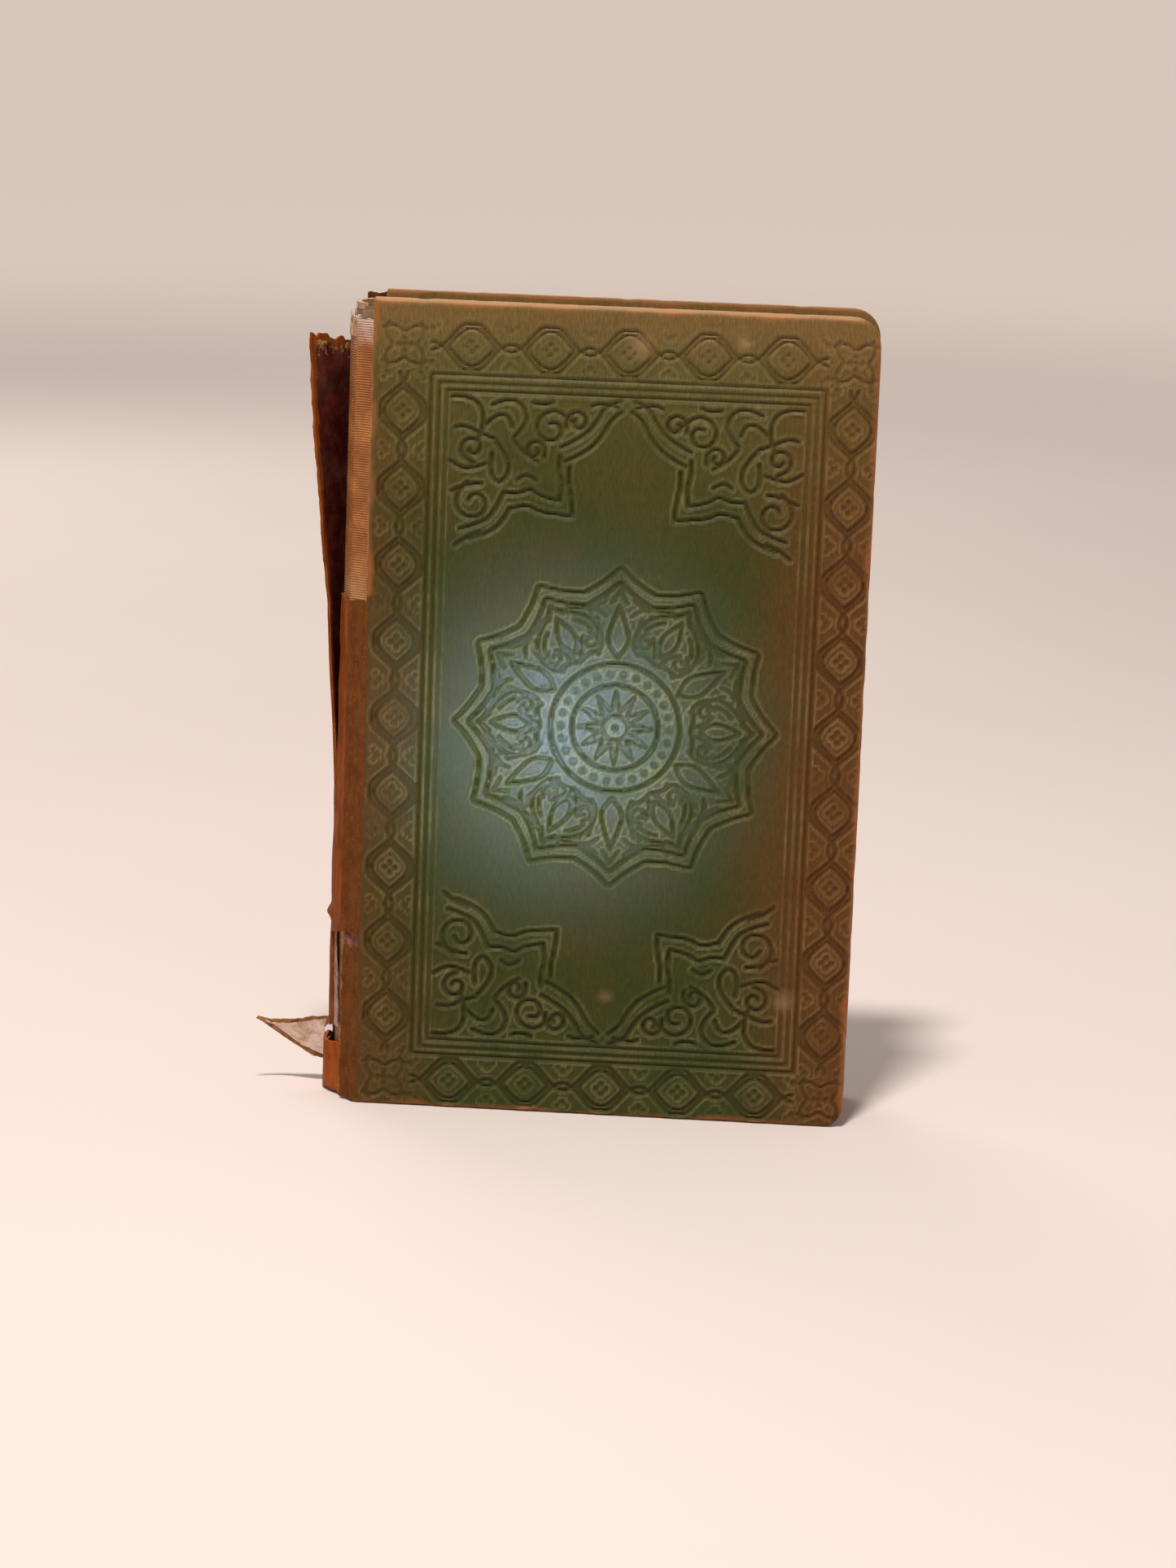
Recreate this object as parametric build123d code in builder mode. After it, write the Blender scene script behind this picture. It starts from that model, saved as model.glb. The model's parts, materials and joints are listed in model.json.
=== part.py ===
"""A worn prayer book standing on its tail edge.

Frame: millimetres, +Z up, the front cover faces -Y and the spine is on -X.
The origin is at the bottom, in the middle of the whole book with its torn flaps.
Angles round the spine are measured from -X, negative towards the front cover.
"""

from build123d import *
from math import cos, degrees, radians, sin, sqrt
import os

# --- Driving dimensions -----------------------------------------------------
board_height = 168.0
board_width = 102.5
board_thickness = 2.2
head_corner_radius = 6.0
tail_corner_radius = 4.5

cloth_thickness = 0.35
turn_in_width = 14.0
pastedown_thickness = 0.15
pastedown_margin = 2.5

block_thickness = 20.0
square = 3.0
page_corner_radius = 4.0
gathering_count = 16
front_leaf_count = 6
back_leaf_count = 4
leaf_thickness = 0.14
leaf_pitch = 0.20

cover_clearance = 0.30
joint_width = 3.0
joint_leather_start = 0.45
joint_leather_edge = 0.35
joint_leather_thickness = 0.9
joint_hollow = 0.12
joint_foot_height = 0.3
leaf_root_offset = 0.30

spine_half_angle = 38.0
spine_setback = 0.7
spine_inset = 0.4
spine_leather_thickness = 0.7
spine_inlay_thickness = 0.25
hollow_back_gap = 0.6
paper_lining_thickness = 0.2
mull_thickness = 0.15
tape_thickness = 0.2
tape_height = 10.0
tape_count = 3
lining_half_angle = 34.0
lining_end_gap = 6.0
headband_depth = 1.0
headband_height = 1.3
headband_half_angle = 33.0

# Heights of the splits in the leather over the spine.
loose_strip_top = 159.0
near_strip_top = 106.0
band_top = 65.0
tear_top = 36.0
tear_bottom = 33.0
lower_leather_bottom = 14.5
tail_foot_height = 0.8
tail_cap_top = 11.0

near_strip_angle = 18.0
split_gap = 0.3
lower_leather_front_angle = -12.0
lower_inlay_front_angle = -20.0
inlay_half_angle = 30.0
tail_cap_front_angle = -25.0
tail_cap_rear_angle = 15.0
tail_cap_lift = 0.5
tail_cap_thickness = 0.8
tail_lining_thickness = 0.3
tail_lining_margin = 1.2

# The loose strip springs away from the spine towards its top.
loose_strip_width = 18.0
loose_strip_narrow_width = 15.6
loose_strip_widening_height = 22.0
loose_strip_uncurl = 0.95
loose_strip_sections = 7
loose_liner_thickness = 0.2

# The torn flap reaches out from the foot of the spine.
flap_reach = 22.0
flap_base_gap = 0.4
flap_base_bottom = 5.2
flap_base_top = 14.2
flap_tip_bottom = 11.0
flap_belly = 3.0
flap_tip_top = 14.8
flap_leather_thickness = 0.6
flap_paper_thickness = 0.15
flap_paper_margin = 1.2
flap_y = 1.5

# --- Places worked out from the dimensions ----------------------------------
overall_width = board_width + flap_reach
board_left = flap_reach - overall_width / 2
board_right = board_left + board_width
hinge_x = board_left - joint_width
hinge_y = block_thickness / 2 + cover_clearance

page_bottom = square
page_top = board_height - square
page_right = board_right - square
leaf_left = hinge_x + leaf_root_offset

spine_radius = (block_thickness / 2 - spine_inset) / sin(radians(spine_half_angle))
spine_centre_x = hinge_x - spine_setback + spine_radius * cos(radians(spine_half_angle))
leather_inner_radius = spine_radius - spine_leather_thickness
inlay_inner_radius = leather_inner_radius - spine_inlay_thickness
paper_outer_radius = inlay_inner_radius - hollow_back_gap
mull_outer_radius = paper_outer_radius - paper_lining_thickness
tape_outer_radius = mull_outer_radius - mull_thickness
block_spine_radius = tape_outer_radius - tape_thickness

gatherings_front = -block_thickness / 2 + front_leaf_count * leaf_pitch
gatherings_back = block_thickness / 2 - back_leaf_count * leaf_pitch
gathering_thickness = (gatherings_back - gatherings_front) / gathering_count

# Layers of a cover, counted outward from the plane of its hinge.
turn_in_inner = pastedown_thickness
board_inner = turn_in_inner + cloth_thickness
board_outer = board_inner + board_thickness
cover_outer = board_outer + cloth_thickness

os.makedirs("parts", exist_ok=True)


def write(piece, name):
    """Label one finished piece and write it under its node's name."""
    piece.part.label = name
    export_step(piece.part, f"parts/{name}.step")


def spine_surface_x(radius, y):
    """X of the round of that radius about the spine's centre, at depth y."""
    return spine_centre_x - sqrt(radius**2 - y**2)


def ring_arcs(centre, inner, outer, start, end):
    """The outer and inner arcs of a ring sector, each as three points."""

    def point(radius, angle):
        along = radians(angle)
        return (centre[0] - radius * cos(along), centre[1] + radius * sin(along))

    middle = (start + end) / 2
    outer_arc = [point(outer, angle) for angle in (start, middle, end)]
    inner_arc = [point(inner, angle) for angle in (end, middle, start)]
    return outer_arc, inner_arc


def make_spine_piece(name, *shells):
    """Write a piece made of upright shells about the spine.

    Each shell is its inner and outer radius, two angles, and its bottom and top.
    """
    with BuildPart() as piece:
        for inner, outer, start, end, bottom, top in shells:
            outer_arc, inner_arc = ring_arcs((spine_centre_x, 0), inner, outer, start, end)
            with BuildSketch(Plane.XY.offset(bottom)):
                with BuildLine():
                    ThreePointArc(*outer_arc)
                    Line(outer_arc[2], inner_arc[0])
                    ThreePointArc(*inner_arc)
                    Line(inner_arc[2], outer_arc[0])
                make_face()
            extrude(amount=top - bottom)
    write(piece, name)


def make_slab(name, plane, amount, corners, radii):
    """Write a flat sheet whose two fore-edge corners are rounded, tail corner first."""
    with BuildPart() as slab:
        with BuildSketch(plane):
            with BuildLine():
                FilletPolyline(*corners, radius=radii)
                Line(corners[3], corners[0])
            make_face()
        extrude(amount=amount)
    write(slab, name)


def corners_between(left, right, bottom, top):
    """The corners of a rectangle, from the bottom left one round by the fore edge."""
    return [(left, bottom), (right, bottom), (right, top), (left, top)]


# --- Text block -------------------------------------------------------------
page_radii = [page_corner_radius, page_corner_radius]
leaf_width = page_right - spine_surface_x(block_spine_radius, gatherings_back)


def make_gathering(index):
    """One folded section: round at the spine, hollow at the fore edge."""
    front = gatherings_front + index * gathering_thickness
    depths = (front, front + gathering_thickness / 2, front + gathering_thickness)
    spine_arc = [(spine_surface_x(block_spine_radius, y), y) for y in depths]
    fore_edge_arc = [(x + leaf_width, y) for x, y in reversed(spine_arc)]
    outline = corners_between(spine_centre_x - spine_radius, page_right, page_bottom, page_top)
    with BuildPart() as gathering:
        with BuildSketch(Plane.XY):
            with BuildLine():
                ThreePointArc(*spine_arc)
                Line(spine_arc[2], fore_edge_arc[0])
                ThreePointArc(*fore_edge_arc)
                Line(fore_edge_arc[2], spine_arc[0])
            make_face()
        extrude(amount=board_height)
        with BuildSketch(Plane.XZ.offset(-depths[2])):
            with BuildLine():
                FilletPolyline(*outline, radius=page_radii)
                Line(outline[3], outline[0])
            make_face()
        extrude(amount=gathering_thickness, mode=Mode.INTERSECT)
    write(gathering, f"gathering_{index + 1:02d}")


def make_leaf(name, index, side):
    """One loose end leaf. Side is 1 at the front of the book and -1 at the back."""
    inner_face = block_thickness / 2 - index * leaf_pitch - leaf_thickness
    make_slab(
        f"{name}_{index + 1:02d}",
        Plane.XZ.offset(side * inner_face),
        side * leaf_thickness,
        corners_between(leaf_left, page_right, page_bottom, page_top),
        page_radii,
    )


for gathering_index in range(gathering_count):
    make_gathering(gathering_index)
for leaf_index in range(front_leaf_count):
    make_leaf("front_leaf", leaf_index, 1)
for leaf_index in range(back_leaf_count):
    make_leaf("back_leaf", leaf_index, -1)

# --- Linings glued to the spine of the text block -----------------------------
lining_span = (-lining_half_angle, lining_half_angle)
lining_heights = (page_bottom + lining_end_gap, page_top - lining_end_gap)
headband_span = (-headband_half_angle, headband_half_angle)
headband_radii = (block_spine_radius - headband_depth, block_spine_radius)
tape_step = (page_top - page_bottom) / (tape_count + 1)
tape_bottoms = [page_bottom + (tape + 1) * tape_step - tape_height / 2 for tape in range(tape_count)]

make_spine_piece(
    "sewing_tapes",
    *[
        (block_spine_radius, tape_outer_radius, *lining_span, bottom, bottom + tape_height)
        for bottom in tape_bottoms
    ],
)
make_spine_piece("spine_mull", (tape_outer_radius, mull_outer_radius, *lining_span, *lining_heights))
make_spine_piece("spine_paper_lining", (mull_outer_radius, paper_outer_radius, *lining_span, *lining_heights))
make_spine_piece("headband_head", (*headband_radii, *headband_span, page_top, page_top + headband_height))
make_spine_piece("headband_tail", (*headband_radii, *headband_span, page_bottom - headband_height, page_bottom))

# --- Leather still fixed over the spine ---------------------------------------
leather_radii = (leather_inner_radius, spine_radius)
inlay_radii = (inlay_inner_radius, leather_inner_radius)
tail_cap_inner = leather_inner_radius + tail_cap_lift
tail_cap_outer = tail_cap_inner + tail_cap_thickness

make_spine_piece(
    "spine_leather",
    (*leather_radii, -spine_half_angle, spine_half_angle, tear_top, band_top),
    (*leather_radii, lower_leather_front_angle, spine_half_angle, lower_leather_bottom, tear_top),
    (*leather_radii, tail_cap_rear_angle, spine_half_angle, tail_foot_height, lower_leather_bottom),
)
make_spine_piece(
    "spine_inlay",
    (*inlay_radii, -inlay_half_angle, inlay_half_angle, tear_top, band_top),
    (*inlay_radii, lower_inlay_front_angle, inlay_half_angle, lower_leather_bottom, tear_top),
)
make_spine_piece(
    "near_spine_strip",
    (*leather_radii, -spine_half_angle, near_strip_angle - spine_half_angle, band_top, near_strip_top),
)
make_spine_piece(
    "tail_cap",
    (tail_cap_inner, tail_cap_outer, tail_cap_front_angle, tail_cap_rear_angle, tail_foot_height, tail_cap_top),
)
make_spine_piece(
    "tail_cap_lining",
    (
        tail_cap_inner - tail_lining_thickness,
        tail_cap_inner,
        tail_cap_front_angle + tail_lining_margin,
        tail_cap_rear_angle,
        tail_foot_height + tail_lining_margin,
        tail_cap_top - tail_lining_margin,
    ),
)

# --- Covers -------------------------------------------------------------------
board_corners = corners_between(
    board_left, board_right - cloth_thickness, cloth_thickness, board_height - cloth_thickness
)
board_radii = [tail_corner_radius - cloth_thickness, head_corner_radius - cloth_thickness]
cover_corners = corners_between(board_left, board_right, 0, board_height)
cover_radii = [tail_corner_radius, head_corner_radius]
pastedown_corners = corners_between(
    board_left, board_right - pastedown_margin, pastedown_margin, board_height - pastedown_margin
)
# The area inside the turn-ins, open at the spine edge.
window_middle = ((board_left + board_right - turn_in_width) / 2, board_height / 2)
window_size = (board_width - turn_in_width, board_height - 2 * turn_in_width)


def cover_plane(side, layer):
    """The plane of one layer of a cover. Side is 1 at the front and -1 at the back."""
    return Plane.XZ.offset(side * (hinge_y + layer))


def make_cover_cloth(name, side):
    """The cover's outer skin, with its three edges turned in over the board."""
    with BuildPart() as cloth:
        with BuildSketch(cover_plane(side, turn_in_inner)):
            with BuildLine():
                FilletPolyline(*cover_corners, radius=cover_radii)
                Line(cover_corners[3], cover_corners[0])
            make_face()
        extrude(amount=side * (cover_outer - turn_in_inner))
        with BuildSketch(cover_plane(side, board_inner)):
            with BuildLine():
                FilletPolyline(*board_corners, radius=board_radii)
                Line(board_corners[3], board_corners[0])
            make_face()
        extrude(amount=side * board_thickness, mode=Mode.SUBTRACT)
        with BuildSketch(cover_plane(side, turn_in_inner)):
            with Locations(window_middle):
                Rectangle(*window_size)
        extrude(amount=side * cloth_thickness, mode=Mode.SUBTRACT)
    write(cloth, name)


def make_pastedown(name, side):
    """The paper glued inside a cover: a sheet over the turn-ins, sunk between them."""
    with BuildPart() as pastedown:
        with BuildSketch(cover_plane(side, 0)):
            with BuildLine():
                FilletPolyline(*pastedown_corners, radius=page_radii)
                Line(pastedown_corners[3], pastedown_corners[0])
            make_face()
        extrude(amount=side * pastedown_thickness)
        with BuildSketch(cover_plane(side, turn_in_inner)):
            with Locations(window_middle):
                Rectangle(*window_size)
        extrude(amount=side * cloth_thickness)
    write(pastedown, name)


def hollow_arc(start, end):
    """Three points of a shallow hollow curve from one (along, outward) place to another."""
    along = (start[0] + end[0]) / 2 + joint_hollow * (end[1] - start[1])
    outward = (start[1] + end[1]) / 2 - joint_hollow * (end[0] - start[0])
    return [start, (along, outward), end]


def make_joint_leather(name, side, bottom, top):
    """The leather in a joint, rising from the hinge to the cover's outer face."""
    heel = (joint_leather_start, 0)
    crest = (joint_leather_start, joint_leather_edge)
    toe = (joint_leather_start + joint_leather_thickness, 0)
    inner_edge = (joint_width, cover_outer - joint_leather_thickness)
    outer_edge = (joint_width, cover_outer)

    def place(points):
        return [(hinge_x + along, -side * (hinge_y + outward)) for along, outward in points]

    with BuildPart() as joint_leather:
        with BuildSketch(Plane.XY.offset(bottom)):
            with BuildLine():
                ThreePointArc(*place(hollow_arc(crest, outer_edge)))
                Line(*place([outer_edge, inner_edge]))
                ThreePointArc(*place(hollow_arc(toe, inner_edge)))
                Polyline(*place([toe, heel, crest]))
            make_face()
        extrude(amount=top - bottom)
    write(joint_leather, name)


for cover_name, cover_side in (("front", 1), ("back", -1)):
    board_plane = cover_plane(cover_side, board_inner)
    make_slab(f"{cover_name}_board", board_plane, cover_side * board_thickness, board_corners, board_radii)
    make_cover_cloth(f"{cover_name}_cover_cloth", cover_side)
    make_pastedown(f"{cover_name}_pastedown", cover_side)

make_joint_leather("front_joint_upper", 1, tear_top, near_strip_top)
make_joint_leather("front_joint_lower", 1, joint_foot_height, tear_bottom)
make_joint_leather("back_joint", -1, joint_foot_height, board_height - joint_foot_height)


# --- The loose strip of spine leather -------------------------------------------
def make_loose_layer(name, outer_offset, thickness):
    """One layer of the strip, which uncurls from the round of the spine as it rises."""
    root_angle = radians(spine_half_angle)
    root_x = spine_centre_x - spine_radius * cos(root_angle)
    root_y = spine_radius * sin(root_angle)
    bottom = band_top + split_gap
    with BuildPart() as layer:
        for section in range(loose_strip_sections):
            rise = section / (loose_strip_sections - 1)
            height = bottom + rise * (loose_strip_top - bottom)
            curl_radius = spine_radius / (1 - loose_strip_uncurl * rise)
            centre = (root_x + curl_radius * cos(root_angle), root_y - curl_radius * sin(root_angle))
            widening = min(max((height - near_strip_top) / loose_strip_widening_height, 0), 1)
            width = loose_strip_narrow_width
            width += widening * (loose_strip_width - loose_strip_narrow_width)
            free_edge_angle = spine_half_angle - degrees(width / curl_radius)
            outer = curl_radius - outer_offset
            outer_arc, inner_arc = ring_arcs(
                centre, outer - thickness, outer, spine_half_angle, free_edge_angle
            )
            with BuildSketch(Plane.XY.offset(height)):
                with BuildLine():
                    ThreePointArc(*outer_arc)
                    Line(outer_arc[2], inner_arc[0])
                    ThreePointArc(*inner_arc)
                    Line(inner_arc[2], outer_arc[0])
                make_face()
        loft()
    write(layer, name)


make_loose_layer("loose_spine_leather", 0, spine_leather_thickness)
make_loose_layer("loose_spine_liner", spine_leather_thickness, loose_liner_thickness)

# --- The torn flap at the foot of the spine --------------------------------------
flap_root_x = spine_centre_x - tail_cap_outer - flap_base_gap
flap_tip_x = board_left - flap_reach
flap_length = flap_root_x - flap_tip_x


def make_flap_layer(name, near_face, thickness, margin):
    """A pointed sheet standing out from the spine, narrowing towards its tip."""
    with BuildPart() as layer:
        with BuildSketch(Plane.XZ.offset(-near_face)):
            with BuildLine():
                Polyline(
                    (flap_root_x, flap_base_bottom + margin),
                    (flap_root_x, flap_base_top - margin),
                    (flap_tip_x + margin, flap_tip_top - margin),
                    (flap_tip_x + 0.15 * flap_length + margin, flap_tip_bottom + margin),
                    (flap_root_x - 0.45 * flap_length, flap_base_bottom + flap_belly + margin),
                    close=True,
                )
            make_face()
        extrude(amount=-thickness)
    write(layer, name)


make_flap_layer("torn_flap_leather", flap_y, flap_leather_thickness, 0)
make_flap_layer("torn_flap_paper", flap_y - flap_paper_thickness, flap_paper_thickness, flap_paper_margin)
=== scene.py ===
# %% [markdown]
# A worn prayer book, standing on its tail edge
#
# The book has two stiff covers in stamped green cloth, a sewn block of pages, and a torn brown
# leather spine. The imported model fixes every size, hinge and resting place. This lesson gives
# each piece the surface of the real thing.

import json
from math import cos, pi, radians, sin, sqrt

import bmesh
import bpy
from mathutils import Matrix, Vector, kdtree, noise


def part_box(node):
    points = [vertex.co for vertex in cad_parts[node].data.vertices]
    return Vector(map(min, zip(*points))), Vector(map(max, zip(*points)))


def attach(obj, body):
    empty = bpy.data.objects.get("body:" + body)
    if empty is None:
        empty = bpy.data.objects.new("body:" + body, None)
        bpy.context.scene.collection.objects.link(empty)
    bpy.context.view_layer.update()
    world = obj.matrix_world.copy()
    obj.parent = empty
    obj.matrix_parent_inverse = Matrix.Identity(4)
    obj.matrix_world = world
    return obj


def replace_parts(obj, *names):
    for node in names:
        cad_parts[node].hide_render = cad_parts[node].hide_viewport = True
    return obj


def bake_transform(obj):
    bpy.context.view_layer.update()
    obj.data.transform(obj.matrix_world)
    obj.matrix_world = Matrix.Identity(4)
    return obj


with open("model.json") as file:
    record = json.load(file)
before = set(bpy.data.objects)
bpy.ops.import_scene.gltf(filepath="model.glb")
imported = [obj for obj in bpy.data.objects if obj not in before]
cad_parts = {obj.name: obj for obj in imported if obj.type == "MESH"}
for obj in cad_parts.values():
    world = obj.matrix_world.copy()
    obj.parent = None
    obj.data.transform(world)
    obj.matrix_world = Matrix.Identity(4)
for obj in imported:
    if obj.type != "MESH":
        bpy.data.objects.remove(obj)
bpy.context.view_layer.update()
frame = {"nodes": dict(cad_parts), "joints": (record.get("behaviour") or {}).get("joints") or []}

# %% [markdown]
# Measuring the frame
#
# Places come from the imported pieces, so nothing has to be fitted afterwards. The edges of the
# cover and the round of the spine are read from the boxes of their nodes, and the hinge from the
# list of joints. Lengths are metres, and `mm` keeps the small ones readable.

# %% Places read from the frame
mm = 0.001
cloth_low, cloth_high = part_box("front_cover_cloth")
band_low, band_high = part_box("spine_leather")
page_low, page_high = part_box("front_leaf_01")

board_left = cloth_low[0]
board_right = cloth_high[0]
board_top = cloth_high[2]
joints = {joint["name"]: joint for joint in frame["joints"]}
hinge_y = abs(joints["back_cover_hinge"]["pos_m"][1])

spine_half_angle = radians(38)
spine_radius = band_high[1] / sin(spine_half_angle)
spine_centre_x = band_low[0] + spine_radius
print("board", round((board_right - board_left) / mm, 1), "x", round(board_top / mm, 1), "mm")
print("spine radius", round(spine_radius / mm, 2), "mm")

# %% [markdown]
# The camera
#
# The book is seen from a little above and almost square on. A long lens keeps its upright edges
# nearly parallel, and the camera leans by two degrees.

# %% Place the camera
def link_object(name, data):
    """Put some data into the scene as an object."""
    holder = bpy.data.objects.new(name, data)
    bpy.context.collection.objects.link(holder)
    return holder


camera_place = Vector((50.9, -832.9, 231.0)) * mm
camera_yaw = radians(-3.09)
camera_pitch = radians(11.08)
camera_roll = radians(2.19)

camera_data = bpy.data.cameras.new("viewing camera")
camera_data.sensor_fit = "VERTICAL"
camera_data.sensor_height = 36.0
camera_data.lens = 93.4
camera_data.clip_start = 0.01
camera = link_object("viewing camera", camera_data)
aim = Matrix.Rotation(-camera_yaw, 4, "Z") @ Matrix.Rotation(pi / 2 - camera_pitch, 4, "X")
camera.matrix_world = Matrix.Translation(camera_place) @ aim @ Matrix.Rotation(camera_roll, 4, "Z")
bpy.context.scene.camera = camera
print("lens", camera_data.lens, "mm")

# %% [markdown]
# Building materials from nodes
#
# Every finish is worked out from noise, waves and position, so no picture file is needed.
# `Finish` adds a node per call, so the recipes below read like a list of steps.


# %% A helper for node recipes
class Finish:
    """One material's node tree, with a short call for each kind of node."""

    def __init__(self, name):
        self.material = bpy.data.materials.new(name)
        self.material.use_nodes = True
        self.nodes = self.material.node_tree.nodes
        self.links = self.material.node_tree.links
        self.shader = self.nodes["Principled BSDF"]
        self.place = self.nodes.new("ShaderNodeTexCoord").outputs["Object"]

    def feed(self, value, socket):
        """Give a socket a link, a number or a colour."""
        if isinstance(value, bpy.types.NodeSocket):
            self.links.new(value, socket)
        elif isinstance(value, tuple):
            socket.default_value = (*value, 1.0)
        else:
            socket.default_value = value

    def add(self, kind, **inputs):
        """Add a node and feed its inputs by name."""
        node = self.nodes.new("ShaderNode" + kind)
        for name, value in inputs.items():
            self.feed(value, node.inputs[name])
        return node

    def stretch(self, x, y, z):
        return self.add("Mapping", Vector=self.place, Scale=Vector((x, y, z))).outputs["Vector"]

    def noise(self, scale, detail=4.0, rough=0.55, where=None, twist=0.0):
        where = where or self.place
        inputs = {"Scale": scale, "Detail": detail, "Roughness": rough, "Distortion": twist}
        return self.add("TexNoise", Vector=where, **inputs).outputs["Fac"]

    def sums(self, kind, first, second=0.0, third=0.0):
        node = self.nodes.new("ShaderNodeMath")
        node.operation = kind
        for value, socket in zip((first, second, third), node.inputs):
            self.feed(value, socket)
        return node.outputs[0]

    def less(self, first, second):
        return self.sums("SUBTRACT", first, second)

    def between(self, value, low, high, to_low=0.0, to_high=1.0):
        """Carry a value smoothly from one span onto another."""
        node = self.nodes.new("ShaderNodeMapRange")
        node.interpolation_type = "SMOOTHSTEP"
        self.feed(value, node.inputs["Value"])
        names = ("From Min", "From Max", "To Min", "To Max")
        for name, number in zip(names, (low, high, to_low, to_high)):
            node.inputs[name].default_value = number
        return node.outputs["Result"]

    def over(self, colour, tint, value, low, high, least=0.0, most=1.0):
        """Lay a tint over a colour, as strongly as the value says."""
        return self.mix(self.between(value, low, high, least, most), colour, tint)

    def near(self, colour, tint, noise, wander, distance, low, high, most):
        """Lay a tint over a colour where a distance, roughened by noise, is short. In millimetres."""
        value = self.spread(noise, wander * mm, distance)
        return self.over(colour, tint, value, low * mm, high * mm, most, 0.0)

    def mix(self, amount, first, second, kind="MIX"):
        node = self.nodes.new("ShaderNodeMix")
        node.data_type = "RGBA"
        node.blend_type = kind
        self.feed(amount, node.inputs["Factor"])
        self.feed(first, node.inputs[6])
        self.feed(second, node.inputs[7])
        return node.outputs[2]

    def axes(self):
        return self.add("SeparateXYZ", Vector=self.place).outputs

    def distance(self, first, second):
        """How far away a place is that lies first one way and second the other."""
        squares = self.sums("ADD", self.sums("POWER", first, 2), self.sums("POWER", second, 2))
        return self.sums("SQRT", squares)

    def spread(self, value, amount, base):
        """Base, made to wander by an amount of the value."""
        return self.sums("MULTIPLY_ADD", value, amount, base)

    def bump(self, height, strength, distance, below=None):
        node = self.add("Bump", Strength=strength, Distance=distance, Height=height)
        if below is not None:
            self.links.new(below, node.inputs["Normal"])
        return node.outputs["Normal"]

    def finish(self, colour, rough, normal=None, specular=0.5):
        self.feed(colour, self.shader.inputs["Base Color"])
        self.feed(rough, self.shader.inputs["Roughness"])
        self.shader.inputs["Specular IOR Level"].default_value = specular
        if normal is not None:
            self.links.new(normal, self.shader.inputs["Normal"])
        return self.material


# %% [markdown]
# Stamped cover cloth
#
# The cloth is deep green down its middle, brown at the sides, a faded olive at the head and a
# reddish tan at the rim. Handling has polished the middle, so it is smoother there, and a pale blue
# painted reflection lies over it.
# Distances drive each change, and noise breaks them up so that they never follow a ruler. Each
# scuff is a place across, a place up and a size, in millimetres.


# %% Stamped cover cloth
scuffs = ((54.5, 160.5, 5.5), (89.0, 26.0, 4.5), (52.0, 25.5, 3.5), (75, 162, 3.0))


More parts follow.
